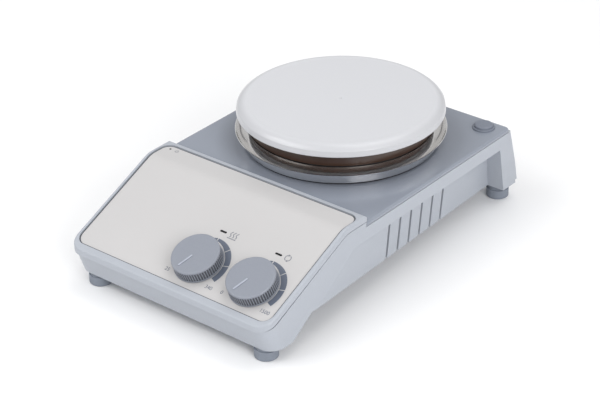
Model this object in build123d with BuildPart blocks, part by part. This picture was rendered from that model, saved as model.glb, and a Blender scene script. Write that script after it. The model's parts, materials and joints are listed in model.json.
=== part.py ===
from build123d import *
import os
from math import cos, radians, sin, tan

# A hotplate magnetic stirrer. Sizes in millimetres: +X is the user's right, +Y the rear, +Z up.
# The origin is on the bench, under the middle of the outline.

# ---- casing ---------------------------------------------------------------------------------
half_width = 80.0
wall = 2.5
seam = 0.4                      # open joint line between two casing pieces
deck_z = 57.0                   # top of the metal deck
deck_edge = 2.5                 # height of the deck's visible rim
deck_front_y = -35.7
deck_rear_y = 118.0
front_y = -131.5                # foremost point of the casing
front_base_y = -124.5           # the front face leans back to here at its foot
front_base_z = 9.0
front_corner_r = 10.0
panel_slope = 23.3              # degrees, of the control panel
bezel_top_z = 61.6              # level rear strip of the bezel
bend_y = -56.1                  # where the slope meets the level strip
bend_r = 16.0
bezel_depth = 4.1               # height of the bezel's visible side strip
bezel_edge_r = 1.4
ramp_front_y = -107.0           # the side wall's lower edge rises from here
ramp_rear_y = -89.0
ramp_top_z = 20.8
rear_top_y = 119.2              # outer face of the rear panel, at the height of the seam
rear_base_y = 130.7             # and at its foot
rear_base_z = 13.0
rear_sheet = 2.0

# ---- side recesses, rear legs and vents -----------------------------------------------------
recess_top_z = 45.0             # underside of the rim above the recess
recess_start_y = -48.0          # where the recess plane leaves the side, at that height
recess_in_per_y = 0.068
recess_in_per_z = 0.10
leg_front_top_y = 106.7
leg_front_base_y = 115.4
leg_base_z = 10.3
leg_draft = 2.0                 # the legs are this much further in at their foot
vent_count = 6
vent_pitch = 12.6
vent_first_y = -9.0
vent_first_top_z = 42.4
vent_width = 2.2
vent_end_r = 0.99

# ---- feet -----------------------------------------------------------------------------------
foot_x = 67.6
front_foot_y = -116.8
rear_foot_y = 124.0
foot_r = 7.5
foot_height = 6.4
foot_neck_r = 6.6
foot_recess_r = 4.2

# ---- hot plate stack ------------------------------------------------------------------------
plate_y = 41.2
plate_top_z = 85.0
plate_rim_z = 78.0
plate_flat_r = 59.5             # the flat top, inside the rounded shoulder
plate_shoulder_r = 66.9
plate_shoulder_z = 81.8
plate_rim_r = 67.5
plate_thick = 3.5
plate_hem_r = 0.4
plate_skirt = 2.8                # width of the turned-down rim
centre_mark_r = 0.9             # small dimple in the middle of the plate
shroud_r = 60.0
shroud_z = 68.4
dish_rim_r = 68.5
dish_rim_z = 66.0
dish_base_r = 63.6
dish_base_z = 58.2
dish_sheet = 0.8
stud_circle_r = 50.0
stud_r = 2.0
stud_count = 4

# ---- stirring drive -------------------------------------------------------------------------
shaft_r = 3.0
fit = 0.06                      # radial running clearance of a shaft
shaft_hole_r = 13.0
motor_r = 24.0
motor_base_z = 22.0
bracket_z = 46.0
bracket_thick = 2.0
rotor_r = 11.5
magnet_r = 9.0
magnet_offset = 27.0
magnet_base_z = 64.0

# ---- controls -------------------------------------------------------------------------------
panel_half_width = 77.2
panel_front_y = -126.6
panel_rear_y = -39.6
panel_corner_r = 6.5
panel_sheet = 1.1
panel_recess = 0.8
panel_gap = 0.6
knob_r = 15.5
knob_height = 8.6
knob_lift = 0.4
knob_ribs = 60
heat_knob_x = 9.3
stir_knob_x = 52.6
knob_y = -108.4
pot_r = 8.5
bushing_r = 3.6
window_length = 5.0
window_height = 1.3
window_up = 25.5                # indicator windows, up the slope from the knobs' centres
window_shift = -0.6
window_proud = 0.15
power_lamp_x = -72.0
power_lamp_y = -43.4

# ---- fixings and boards ---------------------------------------------------------------------
screw_r = 1.5
screw_gap = 0.1                 # radial, round every fixing
screw_head_r = 2.9
screw_head = 1.9
boss_r = 4.6
boss_height = 9.0
leg_boss_r = 3.2
leg_boss_height = 4.5
cover_sheet = 2.0
cover_screw_spots = [(-73.2, -66.0), (73.2, -66.0), (-60.4, 98.0), (60.4, 98.0)]
board_sheet = 1.6
board_top_z = 29.6
board_half_x = 52.0
board_front_y = -58.0
board_rear_y = 2.0
board_screw_inset = 5.0

# ---- rear services --------------------------------------------------------------------------
bay_half_width = 36.0
bay_low_z = 18.5
bay_high_z = 49.5
bay_y = 118.5                   # outer face of the bay's upright wall
inlet_x = 13.0
switch_x = -20.0
service_z = 34.0
rod_x = 66.0
rod_y = 107.4
rod_thread_r = 4.25
plug_r = 7.3
plug_cap_r = 6.1
plug_stem_r = 5.0
plug_height = 2.8
rear_screw_spots = [(-68.0, 20.0), (68.0, 20.0), (-68.0, 47.0), (68.0, 47.0)]

slope = radians(panel_slope)


def level(z, x=0.0, y=0.0):
    """A horizontal plane at height z, with its origin over (x, y)."""
    return Plane(origin=(x, y, z))


def bend_point(depth):
    """Where slope and level strip meet, on the bent surface this deep below the bezel's top."""
    return (bend_y + depth * tan(slope / 2), bezel_top_z - depth)


def slope_z(y, depth=0.0):
    """Height of the sloping surface at y, this deep below the bezel's top."""
    corner_y, corner_z = bend_point(depth)
    return corner_z - (corner_y - y) * tan(slope)


def panel_plane(x, y, height=0.0):
    """A plane parallel to the panel, over the point of its face at (x, y), raised along the normal."""
    z = slope_z(y, panel_recess)
    origin = (x, y - height * sin(slope), z + height * cos(slope))
    return Plane(origin=origin, x_dir=(1, 0, 0), z_dir=(0, -sin(slope), cos(slope)))


def rear_y(z, depth=0.0):
    """The rear face at height z, this deep inside the outer face of the rear panel."""
    run = (rear_base_y - rear_top_y) / (deck_z - deck_edge - rear_base_z)
    return rear_top_y + (deck_z - deck_edge - z) * run - depth


def rear_plane(x, z):
    """A plane on the rear panel's outer face, looking outwards."""
    run = (rear_base_y - rear_top_y) / (deck_z - deck_edge - rear_base_z)
    return Plane(origin=(x, rear_y(z), z), x_dir=(-1, 0, 0), z_dir=(0, 1, run))


def front_wall_y(z, depth=0.0):
    """The leaning front face at height z, this deep inside the casing."""
    run = (front_base_y - front_y) / (slope_z(front_y) - front_base_z)
    return front_base_y - (z - front_base_z) * run + depth


def leg_front_y(z):
    """Front edge of the rear legs at height z."""
    run = (leg_front_base_y - leg_front_top_y) / (recess_top_z - leg_base_z)
    return leg_front_top_y + (recess_top_z - z) * run


def lower_edge_z(y):
    """Lower edge of the side walls, behind the front ramp."""
    share = (y - ramp_rear_y) / (leg_front_base_y - ramp_rear_y)
    return ramp_top_z + share * (leg_base_z - ramp_top_z)


def bent_strip(outer, inner, y_front, y_rear, radius):
    """Side outline of a strip that follows slope and level strip, between two depths."""
    outer_bend = bend_point(outer)
    inner_bend = bend_point(inner)
    with BuildSketch(Plane.YZ) as strip:
        with BuildLine():
            Polyline(
                (y_front, slope_z(y_front, outer)),
                outer_bend,
                (y_rear, bezel_top_z - outer),
                (y_rear, bezel_top_z - inner),
                inner_bend,
                (y_front, slope_z(y_front, inner)),
                close=True,
            )
        make_face()
        corners = strip.vertices().sort_by_distance((*outer_bend, 0))
        fillet(corners[0], radius - outer)
        corners = strip.vertices().sort_by_distance((*inner_bend, 0))
        fillet(corners[0], radius - inner)
    return strip.sketch_local


def recess_tool(side, grow):
    """The wedge-shaped space beside the tapering rear body; side is +1 for right, -1 for left."""
    top = recess_top_z + grow
    wedge = Plane(
        origin=(side * (half_width - grow), recess_start_y, recess_top_z),
        z_dir=(side, recess_in_per_y, -recess_in_per_z),
    )
    with BuildPart() as space:
        with BuildSketch(Plane.YZ.offset(side * half_width * 1.2)):
            with BuildLine():
                Polyline(
                    (recess_start_y - half_width, -grow),
                    (recess_start_y - half_width, top),
                    (leg_front_y(top) + grow, top),
                    (leg_front_y(-grow) + grow, -grow),
                    close=True,
                )
            make_face()
        extrude(amount=-side * half_width * 0.8)
        split(bisect_by=wedge, keep=Keep.TOP)
    return space.part


def leg_draft_tool(side):
    """Takes the legs' outer faces in towards their feet."""
    draft = Plane(
        origin=(side * half_width, 0, recess_top_z),
        z_dir=(side, 0, -leg_draft / (recess_top_z - leg_base_z)),
    )
    with BuildPart() as space:
        with BuildSketch(Plane.YZ.offset(side * half_width * 1.2)):
            with Locations((leg_front_top_y + half_width / 2 - wall, recess_top_z / 2)):
                Rectangle(half_width, recess_top_z)
        extrude(amount=-side * half_width * 0.4)
        split(bisect_by=draft, keep=Keep.TOP)
    return space.part


def round_bar(plane, radius, length, bore=0.0):
    """A turned pin, bush or washer that grows along a plane's normal."""
    with BuildPart() as bar:
        with BuildSketch(plane):
            Circle(radius)
            if bore:
                Circle(bore, mode=Mode.SUBTRACT)
        extrude(amount=length)
    return bar.part


def pan_screw(plane, shank_r, length, head_r, head_height):
    """A pan-head screw with a cross recess: the head stands on the plane, the shank goes below it."""
    with BuildPart() as screw:
        with BuildSketch(plane):
            Circle(head_r)
        extrude(amount=head_height)
        rim = screw.faces().sort_by(Axis(plane.origin, plane.z_dir))[-1].edges()
        fillet(rim, head_height * 0.4)
        with BuildSketch(plane):
            Circle(shank_r)
        extrude(amount=-length)
        with BuildSketch(plane.offset(head_height)):
            Rectangle(head_r * 1.1, head_r * 0.28)
            Rectangle(head_r * 0.28, head_r * 1.1)
        extrude(amount=-head_height * 0.5, mode=Mode.SUBTRACT)
    return screw.part


def rubber_foot(x, y, top_z):
    """A turned rubber foot with a narrower neck, a screw hole and a recess for the screw's head."""
    with BuildPart() as foot:
        with BuildSketch(level(0, x, y)):
            Circle(foot_r)
        extrude(amount=foot_height)
        fillet(foot.faces().sort_by(Axis.Z)[0].edges(), 0.8)
        fillet(foot.faces().sort_by(Axis.Z)[-1].edges(), 0.6)
        with BuildSketch(level(foot_height - 0.5, x, y)):
            Circle(foot_neck_r)
        extrude(amount=top_z - foot_height + 0.5)
        with BuildSketch(level(0, x, y)):
            Circle(foot_recess_r)
        extrude(amount=foot_height / 2, mode=Mode.SUBTRACT)
        with BuildSketch(level(0, x, y)):
            Circle(screw_r + screw_gap)
        extrude(amount=top_z, mode=Mode.SUBTRACT)
    return foot.part


def save(name, part):
    """Labels a finished piece and writes its file."""
    part.label = name
    export_step(part, f"parts/{name}.step")


def rounded_block(half_x, y_front, y_rear, radius):
    """A tall block that is a rounded rectangle seen from above."""
    with BuildPart() as block:
        with BuildSketch(level(0, 0, (y_front + y_rear) / 2)):
            RectangleRounded(2 * half_x, y_rear - y_front, radius)
        extrude(amount=2 * deck_z)
    return block.part


def on_outline(edge):
    """True for an edge on the casing's outer side, front or rear outline."""
    middle = edge.position_at(0.5)
    beside = abs(middle.X) > half_width - front_corner_r / 2
    return beside or middle.Y < front_y + front_corner_r / 2 or middle.Y > deck_front_y - 0.1


os.makedirs("parts", exist_ok=True)

# ---- lower casing ---------------------------------------------------------------------------
bezel_low = bezel_depth * cos(slope)
ledge = bezel_low + seam
front_top_z = slope_z(front_y, ledge)
rim_top_z = deck_z - deck_edge - seam

with BuildPart() as casing_space:
    with BuildSketch(Plane.YZ):
        with BuildLine():
            Polyline(
                (front_wall_y(-wall, wall), -wall),
                (front_wall_y(deck_z, wall), deck_z + wall),
                (rear_y(deck_z, rear_sheet + wall), deck_z + wall),
                (rear_y(leg_base_z + wall, rear_sheet + wall), leg_base_z + wall),
                (leg_front_y(leg_base_z) - wall * 2, leg_base_z + wall),
                (leg_front_y(leg_base_z) - wall * 2, -wall),
                close=True,
            )
        make_face()
    extrude(amount=half_width - wall, both=True)
    add(recess_tool(1, wall), mode=Mode.SUBTRACT)
    add(recess_tool(-1, wall), mode=Mode.SUBTRACT)
    upright = casing_space.edges().filter_by(lambda e: e.center().Y < front_base_y + 2 * wall)
    fillet(upright.filter_by(lambda e: e.length > deck_z / 2).sort_by(Axis.X)[0], front_corner_r - wall)
    upright = casing_space.edges().filter_by(lambda e: e.center().Y < front_base_y + 2 * wall)
    fillet(upright.filter_by(lambda e: e.length > deck_z / 2).sort_by(Axis.X)[-1], front_corner_r - wall)

with BuildPart() as housing:
    with BuildSketch(Plane.YZ) as housing_side:
        with BuildLine():
            Polyline(
                (front_wall_y(front_base_z), front_base_z),
                (front_wall_y(front_top_z), front_top_z),
                bend_point(ledge),
                (deck_front_y - seam, bezel_top_z - ledge),
                (deck_front_y - seam, rim_top_z),
                (rear_y(rim_top_z, rear_sheet), rim_top_z),
                (rear_y(leg_base_z, rear_sheet), leg_base_z),
                (leg_front_base_y, leg_base_z),
                (ramp_rear_y, ramp_top_z),
                (ramp_front_y, front_base_z),
                close=True,
            )
        make_face()
        fillet(housing_side.vertices().sort_by_distance((*bend_point(ledge), 0))[0], bend_r - ledge)
    extrude(amount=half_width, both=True)
    front_edges = housing.edges().filter_by(lambda e: abs(e.center().X) > half_width - 1)
    fillet(front_edges.filter_by(lambda e: e.center().Y < front_base_y).sort_by(Axis.Y)[:2], front_corner_r)
    add(recess_tool(1, 0), mode=Mode.SUBTRACT)
    add(recess_tool(-1, 0), mode=Mode.SUBTRACT)
    add(leg_draft_tool(1), mode=Mode.SUBTRACT)
    add(leg_draft_tool(-1), mode=Mode.SUBTRACT)
    add(casing_space.part, mode=Mode.SUBTRACT)
    for index in range(vent_count):
        vent_y = vent_first_y + index * vent_pitch
        vent_top = vent_first_top_z + lower_edge_z(vent_y) - lower_edge_z(vent_first_y)
        with BuildSketch(Plane.YZ):
            with Locations((vent_y, vent_top / 2)):
                RectangleRounded(vent_width, vent_top, vent_end_r)
        extrude(amount=half_width, both=True, mode=Mode.SUBTRACT)
    with BuildSketch(level(leg_base_z + wall / 2)):
        with Locations(*[(side * foot_x, rear_foot_y) for side in (-1, 1)]):
            Circle(leg_boss_r)
    extrude(amount=leg_boss_height)
    for x, y in cover_screw_spots:
        with BuildSketch(level(lower_edge_z(y) + cover_sheet + seam, x, y)):
            Circle(boss_r)
        extrude(amount=boss_height)
        with BuildSketch(level(0, x, y)):
            Circle(screw_r + screw_gap)
        extrude(amount=deck_z / 2, mode=Mode.SUBTRACT)
    with BuildSketch(level(0)):
        with Locations(*[(side * foot_x, rear_foot_y) for side in (-1, 1)]):
            Circle(screw_r + screw_gap)
    extrude(amount=deck_z / 2, mode=Mode.SUBTRACT)
    with BuildSketch(Plane.XZ.offset(-bay_y)):
        with Locations((0, (bay_low_z + bay_high_z) / 2)):
            Rectangle(2 * bay_half_width + 3 * wall, bay_high_z - bay_low_z + 2 * wall + seam)
    extrude(amount=wall * 4, both=True, mode=Mode.SUBTRACT)
    for x, z in rear_screw_spots:
        with BuildSketch(rear_plane(x, z)):
            Circle(screw_r + screw_gap)
        extrude(amount=-rear_sheet - 2 * wall, mode=Mode.SUBTRACT)
save("housing", housing.part)

# ---- bottom cover ---------------------------------------------------------------------------
cover_gap = 0.3
cover_front_y = front_wall_y(front_base_z, wall + cover_gap)
cover_rear_y = leg_front_base_y - 2 * wall - cover_gap
cover_front_x = half_width - wall - cover_gap
cover_taper_y = recess_in_per_y * (cover_rear_y - recess_start_y)
cover_taper_z = recess_in_per_z * (recess_top_z - leg_base_z - cover_sheet)
cover_rear_x = cover_front_x - cover_taper_y - cover_taper_z
board_mid_y = (board_front_y + board_rear_y) / 2
board_z = board_top_z - board_sheet
board_screw_x = board_half_x - board_screw_inset
board_rows = (board_front_y + board_screw_inset, board_rear_y - board_screw_inset)
board_spots = [(x, y) for x in (-board_screw_x, board_screw_x) for y in board_rows]
board_post_r = 3.6
front_boss_height = 8.0

with BuildPart() as bottom_cover:
    with BuildSketch(Plane.YZ):
        with BuildLine():
            Polyline(
                (cover_front_y, front_base_z),
                (ramp_front_y, front_base_z),
                (ramp_rear_y, ramp_top_z),
                (cover_rear_y, lower_edge_z(cover_rear_y)),
                (cover_rear_y, lower_edge_z(cover_rear_y) + cover_sheet),
                (ramp_rear_y - 0.5, ramp_top_z + cover_sheet),
                (ramp_front_y - 1.0, front_base_z + cover_sheet),
                (cover_front_y, front_base_z + cover_sheet),
                close=True,
            )
        make_face()
    extrude(amount=half_width, both=True)
    with BuildSketch(level(0)) as cover_plan:
        with BuildLine():
            Polyline(
                (-cover_front_x, cover_front_y),
                (cover_front_x, cover_front_y),
                (cover_front_x, ramp_rear_y),
                (cover_rear_x, cover_rear_y),
                (-cover_rear_x, cover_rear_y),
                (-cover_front_x, ramp_rear_y),
                close=True,
            )
        make_face()
        fillet(cover_plan.vertices().group_by(Axis.Y)[0], front_corner_r - wall)
    extrude(amount=deck_z, mode=Mode.INTERSECT)
    for x, y in board_spots:
        post_base_z = lower_edge_z(y) + cover_sheet / 2
        with BuildSketch(level(post_base_z, x, y)):
            Circle(board_post_r)
        extrude(amount=board_z - post_base_z)
    with BuildSketch(level(board_top_z)):
        with Locations(*board_spots):
            Circle(screw_r + screw_gap)
    extrude(amount=-boss_height, mode=Mode.SUBTRACT)
    with BuildSketch(level(front_base_z + cover_sheet / 2)):
        with Locations(*[(side * foot_x, front_foot_y) for side in (-1, 1)]):
            Circle(boss_r)
    extrude(amount=front_boss_height)
    with BuildSketch(level(0)):
        with Locations(*[(side * foot_x, front_foot_y) for side in (-1, 1)], *cover_screw_spots):
            Circle(screw_r + screw_gap)
    extrude(amount=ramp_top_z + cover_sheet, mode=Mode.SUBTRACT)
save("bottom_cover", bottom_cover.part)

# ---- deck -----------------------------------------------------------------------------------
deck_base_z = deck_z - deck_edge
deck_tongue_y = -50.0
deck_corner_r = 3.5
deck_edge_r = 1.5
lip = 1.8
lip_depth = 3.5
lip_gap = 0.3
lip_shift = -0.5
lip_length = deck_rear_y - deck_front_y - 5.0
motor_bolt_offset = 28.0

with BuildPart() as deck:
    with BuildSketch(level(deck_base_z)) as outline:
        with Locations((0, (deck_front_y + deck_rear_y) / 2)):
            Rectangle(2 * half_width, deck_rear_y - deck_front_y)
        fillet(outline.vertices().group_by(Axis.Y)[-1], deck_corner_r)
        with Locations((0, (deck_tongue_y + deck_front_y) / 2)):
            Rectangle(2 * (half_width - wall - 1), deck_front_y - deck_tongue_y)
    extrude(amount=deck_edge)
    rim = deck.edges().filter_by(lambda e: abs(e.center().Z - deck_z) < 0.01)
    fillet(rim.filter_by(lambda e: e.center().Y > deck_front_y + 1), deck_edge_r)
    with BuildSketch(level(deck_base_z)):
        with Locations((0, (deck_front_y + deck_rear_y) / 2 + lip_shift)):
            RectangleRounded(2 * (half_width - wall - lip_gap), lip_length, 2.5)
            RectangleRounded(
                2 * (half_width - wall - lip_gap - lip),
                lip_length - 2 * lip,
                1.5,
                mode=Mode.SUBTRACT,
            )
    extrude(amount=-lip_depth)
    with BuildSketch(level(deck_base_z - 1, 0, plate_y)):
        Circle(shaft_hole_r)
        with PolarLocations(stud_circle_r, stud_count, start_angle=45):
            Circle(stud_r + screw_gap)
        with GridLocations(2 * motor_bolt_offset, 2 * motor_bolt_offset, 2, 2):
            Circle(screw_r + screw_gap)
        with Locations((rod_x, rod_y - plate_y)):
            Circle(plug_stem_r + 0.3)
    extrude(amount=deck_edge + 2, mode=Mode.SUBTRACT)
save("deck", deck.part)

# ---- bezel and control panel ----------------------------------------------------------------
bezel_floor = panel_recess + panel_sheet
rear_lip = 3.5                  # the bezel's rear edge comes down to the deck
rest_width = 4.0                # the ledge that carries the panel
rest_corner_r = 6.0

with BuildPart() as opening:
    with BuildSketch(Plane.YZ):
        add(bent_strip(-wall, bezel_floor, panel_front_y - panel_gap, panel_rear_y + panel_gap, bend_r))
    extrude(amount=half_width, both=True)
    mouth = rounded_block(
        panel_half_width + panel_gap,
        panel_front_y - panel_gap,
        panel_rear_y + panel_gap,
        panel_corner_r + panel_gap,
    )
    add(mouth, mode=Mode.INTERSECT)

with BuildPart() as bezel:
    with BuildSketch(Plane.YZ):
        add(bent_strip(0, bezel_low, front_y, deck_front_y, bend_r))
    extrude(amount=half_width, both=True)
    with BuildSketch(Plane.YZ):
        with Locations((deck_front_y - rear_lip / 2, (bezel_top_z + deck_z) / 2)):
            Rectangle(rear_lip, bezel_top_z - deck_z - 0.1)
    extrude(amount=half_width - wall - 1, both=True)
    add(rounded_block(half_width, front_y, deck_rear_y, front_corner_r), mode=Mode.INTERSECT)
    skin = bezel.faces().filter_by(lambda f: f.normal_at().Z > 0.5).filter_by(lambda f: f.area > 500)
    fillet(skin.edges().filter_by(lambda e: on_outline(e)), bezel_edge_r)
    add(opening.part, mode=Mode.SUBTRACT)
    inside = rounded_block(
        panel_half_width - rest_width, panel_front_y + rest_width, panel_rear_y - rest_width, rest_corner_r)
    add(inside, mode=Mode.SUBTRACT)
save("bezel", bezel.part)

with BuildPart() as control_panel:
    with BuildSketch(Plane.YZ):
        add(bent_strip(panel_recess, bezel_floor, panel_front_y - wall, panel_rear_y + wall, bend_r))
    extrude(amount=half_width, both=True)
    with BuildSketch(level(0, 0, (panel_front_y + panel_rear_y) / 2)):
        RectangleRounded(2 * panel_half_width, panel_rear_y - panel_front_y, panel_corner_r)
    extrude(amount=2 * deck_z, mode=Mode.INTERSECT)
    for x in (heat_knob_x, stir_knob_x):
        with BuildSketch(panel_plane(x, knob_y)):
            Circle(bushing_r + screw_gap)
            with Locations((window_shift, window_up)):
                SlotOverall(window_length + 0.1, window_height + 0.1)
        extrude(amount=-2 * panel_sheet, mode=Mode.SUBTRACT)
    with BuildSketch(level(bezel_top_z, power_lamp_x, power_lamp_y)):
        Circle(window_height / 2 + 0.05)
    extrude(amount=-4 * panel_sheet, mode=Mode.SUBTRACT)
save("control_panel", control_panel.part)

with BuildPart() as indicator_windows:
    for x in (heat_knob_x, stir_knob_x):
        with BuildSketch(panel_plane(x, knob_y, window_proud)):
            with Locations((window_shift, window_up)):
                SlotOverall(window_length, window_height)
        extrude(amount=-panel_sheet - window_proud)
    with BuildSketch(level(bezel_top_z - panel_recess + window_proud, power_lamp_x, power_lamp_y)):
        Circle(window_height / 2)
    extrude(amount=-panel_sheet - window_proud)
save("indicator_windows", indicator_windows.part)

# ---- knobs and potentiometers ---------------------------------------------------------------
knob_cap = 2.0
skirt_low = 0.7
rib_low = 1.1
rib_high = 7.3
rib_groove_r = 0.62
pointer_height = 0.4            # the raised bar on the knob's top
pointer_length = 10.6
pointer_width = 1.1
pointer_spot = (-2.3, -6.7)
pointer_angle = -109.0
knob_edge_r = 1.0
knob_flare = 0.4
knob_wall = 2.5
hub_r = 5.0
hub_low = 2.7
pot_top = -1.5
pot_base = -12.0
wiper_top = -7.0
wiper_r = 6.0
wiper_thick = 1.5
shaft_tail = 1.0                # the pot's shaft below its wiper
pot_floor = 1.5
bushing_top = 2.4

for name, x in (("heat", heat_knob_x), ("stir", stir_knob_x)):
    with BuildPart() as knob:
        with BuildSketch(panel_plane(x, knob_y, knob_lift)):
            Circle(knob_r)
        extrude(amount=knob_height - knob_lift)
        top = knob.faces().sort_by(Axis((0, 0, 0), (0, -sin(slope), cos(slope))))[-1]
        fillet(top.edges(), knob_edge_r)
        with BuildSketch(panel_plane(x, knob_y, knob_lift)):
            Circle(knob_r + knob_flare)
        extrude(amount=skirt_low)
        with BuildSketch(panel_plane(x, knob_y, rib_low)):
            with PolarLocations(knob_r + 0.1, knob_ribs):
                Circle(rib_groove_r)
        extrude(amount=rib_high - rib_low, mode=Mode.SUBTRACT)
        with BuildSketch(panel_plane(x, knob_y, knob_height)):
            with Locations(Location((*pointer_spot, 0), pointer_angle)):
                SlotOverall(pointer_length, pointer_width)
        extrude(amount=pointer_height)
        with BuildSketch(panel_plane(x, knob_y, 0)):
            Circle(knob_r - knob_wall)
            Circle(hub_r, mode=Mode.SUBTRACT)
        extrude(amount=knob_height - knob_cap, mode=Mode.SUBTRACT)
        with BuildSketch(panel_plane(x, knob_y, 0)):
            Circle(hub_r + 0.01)
        extrude(amount=hub_low, mode=Mode.SUBTRACT)
        with BuildSketch(panel_plane(x, knob_y, 0)):
            Circle(shaft_r + 0.02)
        extrude(amount=knob_height - knob_cap + 0.5, mode=Mode.SUBTRACT)
    save(f"{name}_knob", knob.part)

    with BuildPart() as pot_shaft:
        with BuildSketch(panel_plane(x, knob_y, wiper_top - wiper_thick - shaft_tail)):
            Circle(shaft_r)
        extrude(amount=knob_height - knob_cap - wiper_top + wiper_thick + shaft_tail)
        with BuildSketch(panel_plane(x, knob_y, wiper_top - wiper_thick)):
            Circle(wiper_r - 0.4)
        extrude(amount=wiper_thick)
    save(f"{name}_pot_shaft", pot_shaft.part)

with BuildPart() as potentiometers:
    for x in (heat_knob_x, stir_knob_x):
        with BuildSketch(panel_plane(x, knob_y, pot_base)):
            Circle(pot_r)
            with Locations((0, pot_r)):
                Rectangle(2 * wiper_r, 5)
        extrude(amount=pot_top - pot_base)
        with BuildSketch(panel_plane(x, knob_y, pot_top)):
            Circle(bushing_r)
        extrude(amount=bushing_top - pot_top)
        with BuildSketch(panel_plane(x, knob_y, pot_base + pot_floor)):
            Circle(wiper_r)
        extrude(amount=wiper_top - pot_base - pot_floor + 0.5, mode=Mode.SUBTRACT)
        with BuildSketch(panel_plane(x, knob_y, pot_base + pot_floor)):
            Circle(shaft_r + fit)
        extrude(amount=bushing_top - pot_base, mode=Mode.SUBTRACT)
save("potentiometers", potentiometers.part)

with BuildPart() as pot_nuts:
    for x in (heat_knob_x, stir_knob_x):
        with BuildSketch(panel_plane(x, knob_y)):
            RegularPolygon(bushing_r + 2.2, 6)
            Circle(bushing_r + 0.05, mode=Mode.SUBTRACT)
        extrude(amount=bushing_top - 0.4)
save("pot_nuts", pot_nuts.part)

control_board_front = -12.0
control_board_rear = 38.0
control_board_half_x = 69.0
control_board_depth = pot_base - 2.0
pillar_x = control_board_half_x - 5.0
pillar_y = 20.0
pillar_r = 3.0

with BuildPart() as control_board:
    with BuildSketch(panel_plane(0, knob_y, control_board_depth)):
        with Locations((0, (control_board_front + control_board_rear) / 2)):
            RectangleRounded(2 * control_board_half_x, control_board_rear - control_board_front, 2)
            with GridLocations(2 * pillar_x, 2 * pillar_y, 2, 2):
                Circle(screw_r + screw_gap, mode=Mode.SUBTRACT)
    extrude(amount=-board_sheet)
save("control_board", control_board.part)

with BuildPart() as control_pillars:
    with BuildSketch(panel_plane(0, knob_y, control_board_depth)):
        with Locations((0, (control_board_front + control_board_rear) / 2)):
            with GridLocations(2 * pillar_x, 2 * pillar_y, 2, 2):
                RegularPolygon(pillar_r, 6)
    extrude(amount=-control_board_depth - panel_sheet)
save("control_pillars", control_pillars.part)

with BuildPart() as indicator_lamps:
    for x in (heat_knob_x, stir_knob_x):
        with BuildSketch(panel_plane(x, knob_y, control_board_depth)):
            with Locations((window_shift, window_up)):
                Circle(1.5)
        extrude(amount=-control_board_depth - panel_sheet - 1.6)
save("indicator_lamps", indicator_lamps.part)

# ---- power board ----------------------------------------------------------------------------
board_corner_r = 2.0
heatsink_x = 30.0
heatsink_y = -12.0
heatsink_length = 34.0
heatsink_height = 18.0
fin_count = 8
fin_pitch = 4.0
fin_depth = 14.0
fin_thick = 1.4
transformer_x = -23.0
transformer_y = -17.0
capacitor_r = 6.5
capacitor_height = 16.0

with BuildPart() as power_board:
    with BuildSketch(level(board_z)):
        with Locations((0, board_mid_y)):
            RectangleRounded(2 * board_half_x, board_rear_y - board_front_y, board_corner_r)
        with Locations(*board_spots):
            Circle(screw_r + screw_gap, mode=Mode.SUBTRACT)
    extrude(amount=board_sheet)
save("power_board", power_board.part)

with BuildPart() as triac_heatsink:
    with BuildSketch(level(board_top_z, heatsink_x, heatsink_y)):
        Rectangle(heatsink_length, 2 * fin_thick + 0.2)
        with GridLocations(fin_pitch, 0, fin_count, 1):
            Rectangle(fin_thick, fin_depth)
    extrude(amount=heatsink_height)
save("triac_heatsink", triac_heatsink.part)

with BuildPart() as transformer:
    with BuildSketch(level(board_top_z, transformer_x, transformer_y)):
        Rectangle(34, 28)
    extrude(amount=20)
    chamfer(transformer.edges().filter_by(Axis.Z), 1.5)
save("transformer", transformer.part)

with BuildPart() as filter_capacitors:
    for x in (20, 36):
        with BuildSketch(level(board_top_z, x, -40)):
            Circle(capacitor_r)
        extrude(amount=capacitor_height)
        can_top = filter_capacitors.faces(Select.LAST).sort_by(Axis.Z)[-1]
        fillet(can_top.edges(), 0.8)
save("filter_capacitors", filter_capacitors.part)

# ---- stirring motor -------------------------------------------------------------------------
bearing_r = 6.5
bearing_height = 4.0
can_wall = 1.5
can_base_z = motor_base_z + 2.0
stator_base_z = 29.0
stator_height = 11.0
tooth_width = 5.0
tooth_inner_r = 12.3
yoke_inner_r = 18.6
coil_thick = 2.0
hub_wall = 2.0
tooth_mid_r = (tooth_inner_r + yoke_inner_r) / 2 + 0.3
tooth_length = yoke_inner_r - tooth_inner_r
race_step = 1.1                 # the bearings' races stand proud of their shields
race_depth = 0.4
spacer_r = 4.0
bracket_margin = 6.0

with BuildPart() as bracket_spacers:
    with BuildSketch(level(bracket_z + bracket_thick, 0, plate_y)):
        with GridLocations(2 * motor_bolt_offset, 2 * motor_bolt_offset, 2, 2):
            RegularPolygon(spacer_r, 6)
            Circle(screw_r + screw_gap, mode=Mode.SUBTRACT)
    extrude(amount=deck_base_z - bracket_z - bracket_thick)
save("bracket_spacers", bracket_spacers.part)

with BuildPart() as motor_bracket:
    with BuildSketch(level(bracket_z, 0, plate_y)):
        bracket_side = 2 * (motor_bolt_offset + bracket_margin)
        RectangleRounded(bracket_side, bracket_side, bracket_margin - 1)
        Circle(bearing_r + hub_wall, mode=Mode.SUBTRACT)
        with GridLocations(2 * motor_bolt_offset, 2 * motor_bolt_offset, 2, 2):
            Circle(screw_r + screw_gap, mode=Mode.SUBTRACT)
    extrude(amount=bracket_thick)
save("motor_bracket", motor_bracket.part)

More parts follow.
